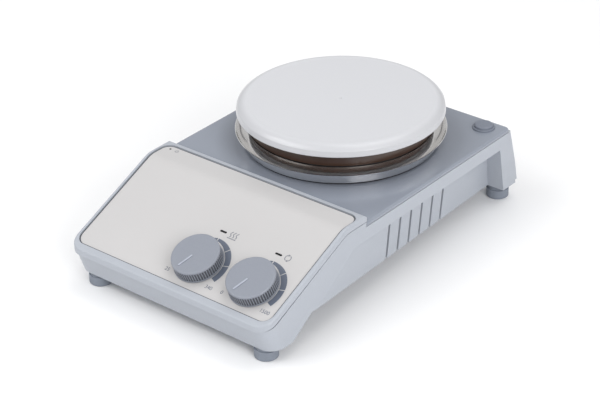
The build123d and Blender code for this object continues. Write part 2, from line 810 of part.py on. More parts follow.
with BuildPart() as inner_screws:
    for x, y in board_spots:
        add(pan_screw(level(board_top_z, x, y), screw_r, boss_height - 1, screw_head_r, screw_head))
    for x_sign in (-1, 1):
        for y_sign in (-1, 1):
            spot = (x_sign * motor_bolt_offset, plate_y + y_sign * motor_bolt_offset, bracket_z)
            below = Plane(origin=spot, z_dir=(0, 0, -1))
            add(pan_screw(below, screw_r, boss_height - 1, screw_head_r, screw_head))
save("inner_screws", inner_screws.part)

with BuildPart() as motor_can:
    with BuildSketch(level(can_base_z, 0, plate_y)):
        Circle(motor_r)
    extrude(amount=bracket_z - can_base_z)
    with BuildSketch(level(can_base_z, 0, plate_y)):
        Circle(motor_r - can_wall)
    extrude(amount=bracket_z - can_base_z - can_wall, mode=Mode.SUBTRACT)
    with BuildSketch(level(bracket_z - bearing_height, 0, plate_y)):
        Circle(bearing_r + hub_wall)
    extrude(amount=bearing_height)
    with BuildSketch(level(bracket_z - bearing_height, 0, plate_y)):
        Circle(bearing_r)
    extrude(amount=bearing_height, mode=Mode.SUBTRACT)
save("motor_can", motor_can.part)

with BuildPart() as motor_end_cap:
    with BuildSketch(level(motor_base_z, 0, plate_y)):
        Circle(motor_r)
        Circle(shaft_r + 1, mode=Mode.SUBTRACT)
    extrude(amount=can_base_z - motor_base_z)
    with BuildSketch(level(can_base_z, 0, plate_y)):
        Circle(bearing_r + hub_wall)
        Circle(bearing_r, mode=Mode.SUBTRACT)
    extrude(amount=bearing_height)
save("motor_end_cap", motor_end_cap.part)

with BuildPart() as motor_bearings:
    for base_z in (can_base_z, bracket_z - bearing_height):
        with BuildSketch(level(base_z, 0, plate_y)):
            Circle(bearing_r)
            Circle(shaft_r + fit, mode=Mode.SUBTRACT)
        extrude(amount=bearing_height)
        for face_z in (base_z, base_z + bearing_height - race_depth):
            with BuildSketch(level(face_z, 0, plate_y)):
                Circle(bearing_r - race_step)
                Circle(shaft_r + race_step, mode=Mode.SUBTRACT)
            extrude(amount=race_depth, mode=Mode.SUBTRACT)
save("motor_bearings", motor_bearings.part)

with BuildPart() as stator_core:
    with BuildSketch(level(stator_base_z, 0, plate_y)):
        Circle(motor_r - can_wall)
        Circle(yoke_inner_r, mode=Mode.SUBTRACT)
        with PolarLocations(tooth_mid_r, 6):
            Rectangle(tooth_length + 0.6, tooth_width)
        Circle(tooth_inner_r, mode=Mode.SUBTRACT)
    extrude(amount=stator_height)
save("stator_core", stator_core.part)

with BuildPart() as stator_coils:
    with BuildSketch(level(stator_base_z - coil_thick, 0, plate_y)):
        with PolarLocations(tooth_mid_r, 6):
            Rectangle(tooth_length - 2.6, tooth_width + 2 * coil_thick)
    extrude(amount=stator_height + 2 * coil_thick)
    with BuildSketch(level(stator_base_z, 0, plate_y)):
        with PolarLocations(tooth_mid_r, 6):
            Rectangle(tooth_length + 1, tooth_width)
    extrude(amount=stator_height, mode=Mode.SUBTRACT)
save("stator_coils", stator_coils.part)

shaft_base_z = 19.5
shaft_top_z = magnet_base_z
holder_base_z = magnet_base_z - 3.0
hub_base_z = 56.0
magnet_height = 6.0
magnet_edge = 1.5               # the holder's margin round each magnet

save("motor_shaft", round_bar(
    level(shaft_base_z, 0, plate_y), shaft_r, shaft_top_z - shaft_base_z))
save("rotor_magnet", round_bar(
    level(stator_base_z, 0, plate_y), rotor_r, stator_height, bore=shaft_r + 0.01))

with BuildPart() as magnet_holder:
    with BuildSketch(level(holder_base_z, 0, plate_y)):
        SlotOverall(2 * (magnet_offset + magnet_r + magnet_edge), 2 * (magnet_r + magnet_edge))
    extrude(amount=magnet_base_z - holder_base_z)
    with BuildSketch(level(hub_base_z, 0, plate_y)):
        Circle(shaft_r + 4)
    extrude(amount=holder_base_z - hub_base_z)
    with BuildSketch(level(hub_base_z, 0, plate_y)):
        Circle(shaft_r + 0.01)
    extrude(amount=magnet_base_z - hub_base_z, mode=Mode.SUBTRACT)
    with BuildSketch(Plane(origin=(0, plate_y, (hub_base_z + holder_base_z) / 2), z_dir=(1, 0, 0))):
        Circle(screw_r + 0.02)
    extrude(amount=shaft_r + 6, mode=Mode.SUBTRACT)
save("magnet_holder", magnet_holder.part)

grub_plane = Plane(origin=(shaft_r + 0.02, plate_y, (hub_base_z + holder_base_z) / 2), z_dir=(1, 0, 0))
save("grub_screw", round_bar(grub_plane, screw_r, 4.5))

with BuildPart() as drive_magnets:
    with BuildSketch(level(magnet_base_z, 0, plate_y)):
        with Locations((-magnet_offset, 0), (magnet_offset, 0)):
            Circle(magnet_r)
    extrude(amount=magnet_height)
    chamfer(drive_magnets.faces().filter_by(Axis.Z).edges(), 0.5)
save("drive_magnets", drive_magnets.part)

# ---- hot plate stack ------------------------------------------------------------------------
shoulder_in = 2.3               # middle of the shoulder's arc, in from the shoulder
shoulder_drop = 0.9             # and below the top
skirt_taper = 0.6

with BuildPart() as hot_plate:
    with BuildSketch(Plane.XZ.offset(-plate_y)) as half:
        with BuildLine():
            ThreePointArc(
                (plate_flat_r, plate_top_z),
                (plate_shoulder_r - shoulder_in, plate_top_z - shoulder_drop),
                (plate_shoulder_r, plate_shoulder_z),
            )
            Polyline(
                (plate_shoulder_r, plate_shoulder_z),
                (plate_rim_r, plate_rim_z),
                (plate_rim_r - plate_skirt, plate_rim_z),
                (plate_rim_r - plate_skirt - skirt_taper, plate_top_z - plate_thick),
                (0, plate_top_z - plate_thick),
                (0, plate_top_z),
                (plate_flat_r, plate_top_z),
            )
        make_face()
        hem = half.vertices().sort_by_distance((plate_rim_r, plate_rim_z, 0))[0]
        fillet(hem, plate_hem_r)
    revolve(axis=Axis((0, plate_y, 0), (0, 0, 1)))
    with Locations((0, plate_y, plate_top_z)):
        Sphere(centre_mark_r, mode=Mode.SUBTRACT)
save("hot_plate", hot_plate.part)

element_thick = 2.5
clamp_thick = 1.0
insulation_thick = 5.0
flange_sheet = 1.5
element_base_z = plate_top_z - plate_thick - element_thick
clamp_base_z = element_base_z - clamp_thick
insulation_base_z = clamp_base_z - insulation_thick
flange_base_z = insulation_base_z - flange_sheet
element_bore_r = 20.0
element_inset = 3.0
gasket_height = 1.0
nut_height = 3.2
sensor_r = 3.0
sensor_x = 14.0
dish_floor_z = dish_base_z + dish_sheet
sleeve_r = 4.0

with BuildPart() as heating_element:
    with BuildSketch(level(element_base_z, 0, plate_y)):
        Circle(shroud_r - element_inset)
        Circle(element_bore_r, mode=Mode.SUBTRACT)
        with PolarLocations(stud_circle_r, stud_count, start_angle=45):
            Circle(stud_r + 0.6, mode=Mode.SUBTRACT)
    extrude(amount=element_thick)
save("heating_element", heating_element.part)

with BuildPart() as heater_clamp_plate:
    with BuildSketch(level(clamp_base_z, 0, plate_y)):
        Circle(shroud_r)
        with PolarLocations(stud_circle_r, stud_count, start_angle=45):
            Circle(stud_r + screw_gap, mode=Mode.SUBTRACT)
        with Locations((sensor_x, 0)):
            Circle(sensor_r + 0.2, mode=Mode.SUBTRACT)
    extrude(amount=clamp_thick)
save("heater_clamp_plate", heater_clamp_plate.part)

with BuildPart() as insulation_disc:
    with BuildSketch(level(insulation_base_z, 0, plate_y)):
        Circle(shroud_r - element_inset)
        with PolarLocations(stud_circle_r, stud_count, start_angle=45):
            Circle(stud_r + screw_gap, mode=Mode.SUBTRACT)
        with Locations((sensor_x, 0)):
            Circle(sensor_r + 0.2, mode=Mode.SUBTRACT)
    extrude(amount=insulation_thick)
save("insulation_disc", insulation_disc.part)
save("plate_sensor", round_bar(
    level(insulation_base_z, sensor_x, plate_y), sensor_r, plate_top_z - plate_thick - insulation_base_z))

with BuildPart() as heater_shroud:
    with BuildSketch(level(shroud_z, 0, plate_y)):
        Circle(shroud_r)
        Circle(shroud_r - 2.9, mode=Mode.SUBTRACT)
    extrude(amount=clamp_base_z - shroud_z)
    with BuildSketch(level(flange_base_z, 0, plate_y)):
        Circle(shroud_r - 2)
        Circle(stud_circle_r - 7, mode=Mode.SUBTRACT)
        with PolarLocations(stud_circle_r, stud_count, start_angle=45):
            Circle(stud_r + screw_gap, mode=Mode.SUBTRACT)
    extrude(amount=flange_sheet)
save("heater_shroud", heater_shroud.part)
save("thermal_cutout", round_bar(level(flange_base_z - 5, stud_circle_r, plate_y), 5.5, 5.0))
save("shroud_gasket", round_bar(
    level(shroud_z - gasket_height, 0, plate_y), shroud_r - 1.4, gasket_height, bore=shroud_r - 3.5))
save("shroud_base", round_bar(
    level(dish_floor_z, 0, plate_y), shroud_r, shroud_z - gasket_height - dish_floor_z, bore=shroud_r - 2.6))

with BuildPart() as plate_spacers:
    with BuildSketch(level(dish_floor_z, 0, plate_y)):
        with PolarLocations(stud_circle_r, stud_count, start_angle=45):
            Circle(sleeve_r)
            Circle(stud_r + screw_gap, mode=Mode.SUBTRACT)
    extrude(amount=flange_base_z - dish_floor_z)
save("plate_spacers", plate_spacers.part)

stud_base_z = 49.5
with BuildPart() as plate_studs:
    with BuildSketch(level(stud_base_z, 0, plate_y)):
        with PolarLocations(stud_circle_r, stud_count, start_angle=45):
            Circle(stud_r)
    extrude(amount=plate_top_z - plate_thick - stud_base_z)
save("plate_studs", plate_studs.part)

with BuildPart() as plate_nuts:
    with BuildSketch(level(deck_base_z, 0, plate_y)):
        with PolarLocations(stud_circle_r, stud_count, start_angle=45):
            RegularPolygon(4.0, 6)
            Circle(stud_r + 0.02, mode=Mode.SUBTRACT)
    extrude(amount=-nut_height)
save("plate_nuts", plate_nuts.part)

with BuildPart() as drip_dish:
    with BuildSketch(Plane.XZ.offset(-plate_y)):
        with BuildLine():
            Line((shaft_hole_r, dish_base_z), (dish_base_r, dish_base_z))
            Line((dish_base_r, dish_base_z), (dish_rim_r, dish_rim_z))
            Line((dish_rim_r, dish_rim_z), (dish_rim_r - 0.5, dish_rim_z + 0.1))
            ThreePointArc(
                (dish_rim_r - 0.5, dish_rim_z + 0.1),
                (dish_base_r + 1.4, dish_base_z + 3.4),
                (shroud_r + 0.3, dish_floor_z),
            )
            Line((shroud_r + 0.3, dish_floor_z), (shaft_hole_r, dish_floor_z))
            Line((shaft_hole_r, dish_floor_z), (shaft_hole_r, dish_base_z))
        make_face()
    revolve(axis=Axis((0, plate_y, 0), (0, 0, 1)))
    with BuildSketch(level(dish_base_z - 1, 0, plate_y)):
        with PolarLocations(stud_circle_r, stud_count, start_angle=45):
            Circle(stud_r + screw_gap)
    extrude(amount=3, mode=Mode.SUBTRACT)
save("drip_dish", drip_dish.part)
save("dish_gasket", round_bar(
    level(deck_z, 0, plate_y), dish_base_r - 1.0, dish_base_z - deck_z, bore=dish_base_r - 5.5))

# ---- support-rod socket and its plug --------------------------------------------------------
socket_base_z = recess_top_z + wall + 0.1
socket_r = 6.4
plug_flange = 1.1
plug_edge_r = 0.9

with BuildPart() as rod_socket:
    with BuildSketch(level(socket_base_z, rod_x, rod_y)):
        RegularPolygon(socket_r, 6)
        Circle(rod_thread_r, mode=Mode.SUBTRACT)
    extrude(amount=deck_base_z - socket_base_z)
save("rod_socket", rod_socket.part)

with BuildPart() as rod_hole_plug:
    with BuildSketch(level(deck_z + 0.05, rod_x, rod_y)):
        Circle(plug_r)
    extrude(amount=plug_flange)
    fillet(rod_hole_plug.faces().sort_by(Axis.Z)[-1].edges(), 0.5)
    with BuildSketch(level(deck_z + 1.0, rod_x, rod_y)):
        Circle(plug_cap_r)
    extrude(amount=plug_height - 1.0)
    fillet(rod_hole_plug.faces().sort_by(Axis.Z)[-1].edges(), plug_edge_r)
    with BuildSketch(level(deck_z + 0.2, rod_x, rod_y)):
        Circle(plug_stem_r)
    extrude(amount=-deck_edge)
save("rod_hole_plug", rod_hole_plug.part)

# ---- rear panel, inlet and switch -----------------------------------------------------------
panel_low_z = 12.4
panel_high_z = deck_base_z - 0.4
inlet_half_x = 15.0
inlet_half_z = 14.8
socket_half_x = 12.0
socket_low_z = 21.0
socket_high_z = 37.0
drawer_low_z = 40.0
drawer_high_z = 47.0
inlet_body_y = 98.0
socket_floor_y = 103.0
flange_thick = 2.0
switch_half_x = 7.5
switch_half_z = 11.0
rocker_half_x = 5.0
rocker_arc_r = 9.6
rocker_tilt = 8.0
rocker_axis_y = bay_y - 2.0
clear = 0.3
pin_spots = [(inlet_x - 7, 27), (inlet_x + 7, 27), (inlet_x, 31)]
pin_width = 2.0
pin_height = 4.0
pin_gap = 0.1
pin_tail = 6.0
fuse_spots = [(inlet_x - 5.5, drawer_high_z - 3.2), (inlet_x + 5.5, drawer_high_z - 3.2)]
fuse_r = 2.5
fuse_length = 19.5
pivot_r = 1.2

with BuildPart() as rear_panel:
    with BuildSketch(Plane.YZ):
        with BuildLine():
            Polyline(
                (rear_y(panel_low_z), panel_low_z),
                (rear_y(panel_high_z), panel_high_z),
                (rear_y(panel_high_z, rear_sheet), panel_high_z),
                (rear_y(panel_low_z, rear_sheet), panel_low_z),
                close=True,
            )
        make_face()
    extrude(amount=half_width - 1, both=True)
    rear_corners = rear_panel.edges().filter_by(lambda e: abs(abs(e.center().X) - half_width + 1) < 0.01)
    fillet(rear_corners.sort_by(Axis.Z)[:2], 2.0)
    with BuildSketch(Plane.YZ):
        with BuildLine():
            Polyline(
                (bay_y - rear_sheet, bay_low_z - rear_sheet),
                (rear_y(bay_low_z - rear_sheet), bay_low_z - rear_sheet),
                (rear_y(bay_high_z + rear_sheet), bay_high_z + rear_sheet),
                (bay_y - rear_sheet, bay_high_z + rear_sheet),
                close=True,
            )
        make_face()
    extrude(amount=bay_half_width + rear_sheet, both=True)
    with BuildSketch(Plane.XZ.offset(-bay_y)):
        with Locations((0, (bay_low_z + bay_high_z) / 2)):
            RectangleRounded(2 * bay_half_width, bay_high_z - bay_low_z, 2.5)
    extrude(amount=-4 * wall * 2, mode=Mode.SUBTRACT)
    with BuildSketch(Plane.XZ.offset(-bay_y)):
        with Locations((inlet_x, service_z)):
            Rectangle(2 * inlet_half_x - 3, 2 * inlet_half_z - 2)
        with Locations((switch_x, service_z)):
            Rectangle(2 * switch_half_x - 1.4, 2 * switch_half_z - 1.4)
    extrude(amount=4 * rear_sheet, mode=Mode.SUBTRACT)
    for x, z in rear_screw_spots:
        with BuildSketch(rear_plane(x, z)):
            Circle(screw_r + screw_gap)
        extrude(amount=-2 * rear_sheet, mode=Mode.SUBTRACT)
    add(leg_draft_tool(1), mode=Mode.SUBTRACT)
    add(leg_draft_tool(-1), mode=Mode.SUBTRACT)
save("rear_panel", rear_panel.part)

with BuildPart() as power_inlet:
    with BuildSketch(Plane.XZ.offset(-bay_y)):
        with Locations((inlet_x, service_z)):
            RectangleRounded(2 * inlet_half_x, 2 * inlet_half_z, 2)
    extrude(amount=-flange_thick)
    with BuildSketch(Plane.XZ.offset(-bay_y)):
        with Locations((inlet_x, service_z)):
            Rectangle(2 * inlet_half_x - 3.4, 2 * inlet_half_z - 2.4)
    extrude(amount=bay_y - inlet_body_y)
    with BuildSketch(Plane.XZ.offset(-socket_floor_y)) as mouth:
        with Locations((inlet_x, (socket_low_z + socket_high_z) / 2)):
            Rectangle(2 * socket_half_x, socket_high_z - socket_low_z)
        chamfer(mouth.vertices().group_by(Axis.Y)[-1], 4.0)
    extrude(amount=-2 * (bay_y - inlet_body_y), mode=Mode.SUBTRACT)
    with BuildSketch(Plane.XZ.offset(-inlet_body_y)):
        with Locations((inlet_x, (drawer_low_z + drawer_high_z) / 2)):
            Rectangle(2 * socket_half_x - 1, drawer_high_z - drawer_low_z)
    extrude(amount=-2 * (bay_y - inlet_body_y), mode=Mode.SUBTRACT)
    with BuildSketch(Plane.XZ.offset(-inlet_body_y)):
        with Locations(*pin_spots):
            Rectangle(pin_width + pin_gap, pin_height + pin_gap)
    extrude(amount=-pin_tail, mode=Mode.SUBTRACT)
save("power_inlet", power_inlet.part)

with BuildPart() as inlet_pins:
    with BuildSketch(Plane.XZ.offset(-inlet_body_y + pin_tail)):
        with Locations(*pin_spots):
            Rectangle(pin_width, pin_height)
    extrude(amount=-(bay_y - inlet_body_y + 5.5))
save("inlet_pins", inlet_pins.part)

with BuildPart() as fuse_drawer:
    with BuildSketch(Plane.XZ.offset(-(inlet_body_y + 1))):
        with Locations((inlet_x, (drawer_low_z + drawer_high_z) / 2)):
            Rectangle(2 * socket_half_x - 1 - 2 * clear, drawer_high_z - drawer_low_z - 2 * clear)
    extrude(amount=-(bay_y + flange_thick - inlet_body_y - 0.5))
    with BuildSketch(Plane.XZ.offset(-(bay_y + flange_thick + 0.05))):
        with Locations((inlet_x, (drawer_low_z + drawer_high_z) / 2)):
            RectangleRounded(2 * socket_half_x, drawer_high_z - drawer_low_z + 1.2, 1.0)
    extrude(amount=-1.6)
    with BuildSketch(Plane.XZ.offset(-(inlet_body_y + 0.5))):
        with Locations(*fuse_spots):
            Circle(fuse_r + 0.1)
        with Locations((inlet_x - 5.5, drawer_high_z - 1), (inlet_x + 5.5, drawer_high_z - 1)):
            Rectangle(5.2, 4.4)
    extrude(amount=-20.4, mode=Mode.SUBTRACT)
save("fuse_drawer", fuse_drawer.part)

with BuildPart() as fuses:
    with BuildSketch(Plane.XZ.offset(-(inlet_body_y + 1))):
        with Locations(*fuse_spots):
            Circle(fuse_r)
    extrude(amount=-fuse_length)
save("fuses", fuses.part)

with BuildPart() as switch_frame:
    with BuildSketch(Plane.XZ.offset(-bay_y)):
        with Locations((switch_x, service_z)):
            RectangleRounded(2 * switch_half_x, 2 * switch_half_z, 1.5)
    extrude(amount=-1.5)
    with BuildSketch(Plane.XZ.offset(-bay_y)):
        with Locations((switch_x, service_z)):
            Rectangle(2 * switch_half_x - 1.6, 2 * switch_half_z - 1.6)
    extrude(amount=16)
    with BuildSketch(Plane.XZ.offset(-(bay_y - 13))):
        with Locations((switch_x, service_z)):
            Rectangle(2 * (rocker_half_x + clear), 2 * (rocker_arc_r + clear))
    extrude(amount=-20, mode=Mode.SUBTRACT)
    with BuildSketch(Plane(origin=(switch_x, rocker_axis_y, service_z), z_dir=(1, 0, 0))):
        Circle(pivot_r + fit)
    extrude(amount=rocker_half_x + 1.3, both=True, mode=Mode.SUBTRACT)
save("switch_frame", switch_frame.part)

with BuildPart() as power_rocker:
    tilted = (0, cos(radians(rocker_tilt)), sin(radians(rocker_tilt)))
    rocker_plane = Plane(origin=(switch_x, rocker_axis_y, service_z), x_dir=tilted, z_dir=(1, 0, 0))
    with BuildSketch(rocker_plane):
        with BuildLine():
            Polyline((-4, -9.6), (3.3, -9.6), (2.0, 0), (3.3, 9.6), (-4, 9.6), close=True)
        make_face()
        Circle(rocker_arc_r, mode=Mode.INTERSECT)
    extrude(amount=rocker_half_x, both=True)
    with BuildSketch(rocker_plane):
        Circle(pivot_r)
    extrude(amount=rocker_half_x + 1.0, both=True)
save("power_rocker", power_rocker.part)

with BuildPart() as rear_panel_screws:
    for x, z in rear_screw_spots:
        add(pan_screw(rear_plane(x, z), screw_r, 6.0, screw_head_r, screw_head))
save("rear_panel_screws", rear_panel_screws.part)

# ---- feet and underside fixings -------------------------------------------------------------
foot_rows = [
    ("front_feet", front_foot_y, front_base_z),
    ("rear_feet", rear_foot_y, leg_base_z),
]
for name, y, top_z in foot_rows:
    with BuildPart() as feet:
        for x in (-foot_x, foot_x):
            add(rubber_foot(x, y, top_z))
    save(name, feet.part)

with BuildPart() as foot_screws:
    for _, y, top_z in foot_rows:
        for x in (-foot_x, foot_x):
            below = Plane(origin=(x, y, foot_height / 2), z_dir=(0, 0, -1))
            add(pan_screw(below, screw_r, top_z, screw_head_r, screw_head))
save("foot_screws", foot_screws.part)

with BuildPart() as cover_screws:
    for x, y in cover_screw_spots:
        below = Plane(origin=(x, y, lower_edge_z(y) - 0.25), z_dir=(0, 0, -1))
        add(pan_screw(below, screw_r, boss_height, screw_head_r, screw_head))
save("cover_screws", cover_screws.part)
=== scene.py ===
import json
from math import cos, pi, radians, sin

import bmesh
import bpy
from mathutils import Matrix, Vector


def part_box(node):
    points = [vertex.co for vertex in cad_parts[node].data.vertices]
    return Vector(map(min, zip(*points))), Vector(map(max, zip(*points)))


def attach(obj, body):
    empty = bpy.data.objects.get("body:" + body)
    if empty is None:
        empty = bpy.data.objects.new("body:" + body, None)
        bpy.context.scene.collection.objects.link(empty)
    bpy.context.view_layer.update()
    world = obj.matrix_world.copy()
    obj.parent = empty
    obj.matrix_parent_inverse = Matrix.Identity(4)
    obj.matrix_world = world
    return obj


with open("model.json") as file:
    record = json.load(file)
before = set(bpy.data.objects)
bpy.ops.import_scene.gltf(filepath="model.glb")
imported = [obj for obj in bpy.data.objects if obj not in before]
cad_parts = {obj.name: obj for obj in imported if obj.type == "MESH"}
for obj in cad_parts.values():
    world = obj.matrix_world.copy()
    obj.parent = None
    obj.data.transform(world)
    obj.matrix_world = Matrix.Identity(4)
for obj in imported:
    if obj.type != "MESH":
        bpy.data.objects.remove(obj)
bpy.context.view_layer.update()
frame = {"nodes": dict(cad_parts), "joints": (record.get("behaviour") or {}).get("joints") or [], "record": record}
nodes = frame["nodes"]
record = frame["record"]
joints = {joint["name"]: joint for joint in frame["joints"]}
MM = 0.001


# ---- materials ------------------------------------------------------------------------------
class Surface:
    """A procedural material: colour mottling, varied gloss and fine relief on a Principled shader."""

    def __init__(self, name, colour, roughness, metallic=0.0, coat=0.0, specular=0.5):
        self.material = bpy.data.materials.new(name)
        self.material.use_nodes = True
        self.nodes = self.material.node_tree.nodes
        self.links = self.material.node_tree.links
        self.shader = self.nodes["Principled BSDF"]
        self.colour = colour
        self.shader.inputs["Base Color"].default_value = (*colour, 1)
        self.shader.inputs["Roughness"].default_value = roughness
        self.shader.inputs["Metallic"].default_value = metallic
        self.shader.inputs["Coat Weight"].default_value = coat
        self.shader.inputs["Coat Roughness"].default_value = 0.12
        self.shader.inputs["Specular IOR Level"].default_value = specular
        self.place = self.nodes.new("ShaderNodeTexCoord").outputs["Object"]
        self.relief = None

    def node(self, kind, **inputs):
        made = self.nodes.new(kind)
        for key, value in inputs.items():
            made.inputs[key.replace("_", " ")].default_value = value
        return made

    def stretched(self, x, y, z):
        """Object coordinates scaled differently along each axis, for grain with a direction."""
        mapping = self.nodes.new("ShaderNodeMapping")
        mapping.inputs["Scale"].default_value = (x, y, z)
        self.links.new(self.place, mapping.inputs["Vector"])
        return mapping.outputs["Vector"]

    def radius(self, x, y):
        """Distance from an upright axis through (x, y), for turned faces."""
        mapping = self.nodes.new("ShaderNodeMapping")
        mapping.inputs["Location"].default_value = (-x, -y, 0)
        mapping.inputs["Scale"].default_value = (1, 1, 0)
        self.links.new(self.place, mapping.inputs["Vector"])
        length = self.nodes.new("ShaderNodeVectorMath")
        length.operation = "LENGTH"
        self.links.new(mapping.outputs["Vector"], length.inputs[0])
        joined = self.nodes.new("ShaderNodeCombineXYZ")
        self.links.new(length.outputs["Value"], joined.inputs["X"])
        return joined.outputs["Vector"]

    def vector(self, operation, value, other=(0, 0, 0)):
        """One step of vector arithmetic on object coordinates."""
        made = self.nodes.new("ShaderNodeVectorMath")
        made.operation = operation
        self.links.new(value, made.inputs[0])
        if isinstance(other, tuple):
            made.inputs[1].default_value = other
        else:
            self.links.new(other, made.inputs[1])
        return made.outputs["Value" if operation in ("LENGTH", "DOT_PRODUCT") else "Vector"]

    def times(self, one, two):
        made = self.nodes.new("ShaderNodeMath")
        made.operation = "MULTIPLY"
        self.links.new(one, made.inputs[0])
        self.links.new(two, made.inputs[1])
        return made.outputs[0]

    def noise(self, scale, detail=3.0, place=None):
        made = self.node("ShaderNodeTexNoise", Scale=scale, Detail=detail)
        self.links.new(place or self.place, made.inputs["Vector"])
        return made.outputs["Fac"]

    def ranged(self, value, low, high, start=0.2, end=0.8):
        made = self.node("ShaderNodeMapRange")
        for key, number in (("From Min", start), ("From Max", end), ("To Min", low), ("To Max", high)):
            made.inputs[key].default_value = number
        self.links.new(value, made.inputs["Value"])
        return made.outputs["Result"]

    def mottle(self, value, other, amount=1.0):
        """Mixes the base colour towards another by a 0..1 value."""
        mix = self.nodes.new("ShaderNodeMix")
        mix.data_type = "RGBA"
        base = self.shader.inputs["Base Color"]
        if base.is_linked:
            self.links.new(base.links[0].from_socket, mix.inputs["A"])
        else:
            mix.inputs["A"].default_value = (*self.colour, 1)
        mix.inputs["B"].default_value = (*other, 1)
        self.links.new(self.ranged(value, 0.0, amount), mix.inputs["Factor"])
        self.links.new(mix.outputs["Result"], base)
        return self

    def gloss(self, value, low, high):
        self.links.new(self.ranged(value, low, high), self.shader.inputs["Roughness"])
        return self

    def bump(self, value, distance, strength=1.0):
        made = self.nodes.new("ShaderNodeBump")
        made.inputs["Strength"].default_value = strength
        made.inputs["Distance"].default_value = distance
        self.links.new(value, made.inputs["Height"])
        if self.relief:
            self.links.new(self.relief, made.inputs["Normal"])
        self.relief = made.outputs["Normal"]
        self.links.new(self.relief, self.shader.inputs["Normal"])
        return self


def shade(colour, factor):
    return tuple(channel * factor for channel in colour)


def moulded(name, colour, roughness=0.42, grain=0.00004):
    """Moulded plastic: a fine spark-eroded grain, faint flow variation, slightly uneven gloss."""
    made = Surface(name, colour, roughness)
    made.mottle(made.noise(22, 4), shade(colour, 0.93), 0.7)
    made.mottle(made.noise(900, 2), shade(colour, 1.06), 0.6)
    made.gloss(made.noise(60, 4), roughness - 0.05, roughness + 0.06)
    made.bump(made.noise(2600, 2), grain)
    return made


def painted(name, colour, roughness=0.35, coat=0.15):
    """Powder paint on sheet: soft orange peel under a thin clear gloss."""
    made = Surface(name, colour, roughness, coat=coat)
    made.mottle(made.noise(14, 3), shade(colour, 0.965), 0.8)
    made.gloss(made.noise(45, 2), roughness - 0.03, roughness + 0.03)
    made.bump(made.noise(700, 2), 0.00003)
    made.bump(made.noise(3200, 2), 0.00001)
    return made


def brushed(name, colour, roughness, scale):
    """Metal with fine drawn lines along the axis whose scale is smallest."""
    made = Surface(name, colour, roughness, metallic=1.0)
    lines = made.noise(1.0, 5, made.stretched(*scale))
    made.mottle(lines, shade(colour, 0.8), 0.8)
    made.gloss(lines, roughness - 0.08, roughness + 0.1)
    made.bump(lines, 0.00001)
    return made


def turned(name, colour, roughness, centre, depth=0.000008, metallic=1.0, coat=0.0):
    """Metal finished on a lathe: fine rings round an upright axis, with a few faint stains."""
    made = Surface(name, colour, roughness, metallic=metallic, coat=coat)
    rings = made.noise(3200, 2, made.radius(*centre))
    made.mottle(made.noise(35, 4), shade(colour, 0.82), 0.6)
    made.gloss(rings, roughness * 0.8, roughness * 1.25)
    made.bump(rings, depth)
    return made


def rubber(name, colour):
    made = Surface(name, colour, 0.72, specular=0.35)
    made.mottle(made.noise(120, 5), shade(colour, 1.35), 0.6)
    made.gloss(made.noise(300, 3), 0.62, 0.82)
    made.bump(made.noise(1800, 4), 0.00006)
    return made


plate_lo, plate_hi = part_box("hot_plate")
axis_x = (plate_lo[0] + plate_hi[0]) / 2
axis_y = (plate_lo[1] + plate_hi[1]) / 2
plate_axis = (axis_x, axis_y)

casing_grey = (0.405, 0.43, 0.475)
surfaces = {
    "grey_casing": moulded("grey_casing", casing_grey, 0.4),
    "grey_deck": painted("grey_deck", (0.262, 0.288, 0.34), 0.24, 0.3),
    "white_panel": painted("white_panel", (0.545, 0.535, 0.535), 0.32, 0.15),
    "dark_window": Surface("dark_window", (0.004, 0.004, 0.006), 0.12, coat=0.6),
    "knob_grey": moulded("knob_grey", (0.25, 0.268, 0.312), 0.36, 0.00003),
    "plug_grey": moulded("plug_grey", (0.185, 0.205, 0.25), 0.45),
    "foot_rubber": rubber("foot_rubber", (0.20, 0.222, 0.262)),
    "brown_enamel": turned("brown_enamel", (0.055, 0.028, 0.018), 0.28, plate_axis, 0.00002, 0.0, 0.5),
    "polished_steel": turned("polished_steel", (0.97, 0.965, 0.96), 0.1, plate_axis),
    "ring_steel": turned("ring_steel", (0.88, 0.86, 0.84), 0.14, plate_axis),
    "seal_rubber": rubber("seal_rubber", (0.016, 0.016, 0.018)),
    "fixing_steel": brushed("fixing_steel", (0.58, 0.58, 0.6), 0.32, (4000, 400, 400)),
    "spacer_brass": brushed("spacer_brass", (0.75, 0.58, 0.28), 0.28, (3000, 3000, 300)),
    "zinc_sheet": brushed("zinc_sheet", (0.56, 0.58, 0.62), 0.36, (260, 2600, 2600)),
    "bearing_steel": brushed("bearing_steel", (0.62, 0.62, 0.64), 0.2, (300, 300, 4000)),
    "lamination_steel": Surface("lamination_steel", (0.20, 0.20, 0.215), 0.45, metallic=0.8),
    "copper_winding": Surface("copper_winding", (0.55, 0.20, 0.07), 0.26, metallic=0.7, coat=0.6),
    "magnet_nickel": turned("magnet_nickel", (0.66, 0.65, 0.62), 0.16, plate_axis),
    "ferrite": moulded("ferrite", (0.045, 0.045, 0.05), 0.55),
    "bare_aluminium": brushed("bare_aluminium", (0.68, 0.69, 0.71), 0.34, (400, 3200, 3200)),
    "insulation_board": Surface("insulation_board", (0.66, 0.61, 0.50), 0.85),
    "circuit_board": Surface("circuit_board", (0.010, 0.125, 0.045), 0.3, coat=0.5),
    "component_black": moulded("component_black", (0.022, 0.022, 0.025), 0.38),
    "capacitor_sleeve": Surface("capacitor_sleeve", (0.02, 0.028, 0.07), 0.25, coat=0.4),
    "lamp_lens": Surface("lamp_lens", (0.05, 0.50, 0.12), 0.15, coat=0.4),
    "fuse_glass": Surface("fuse_glass", (0.78, 0.84, 0.80), 0.06, coat=0.6),
}

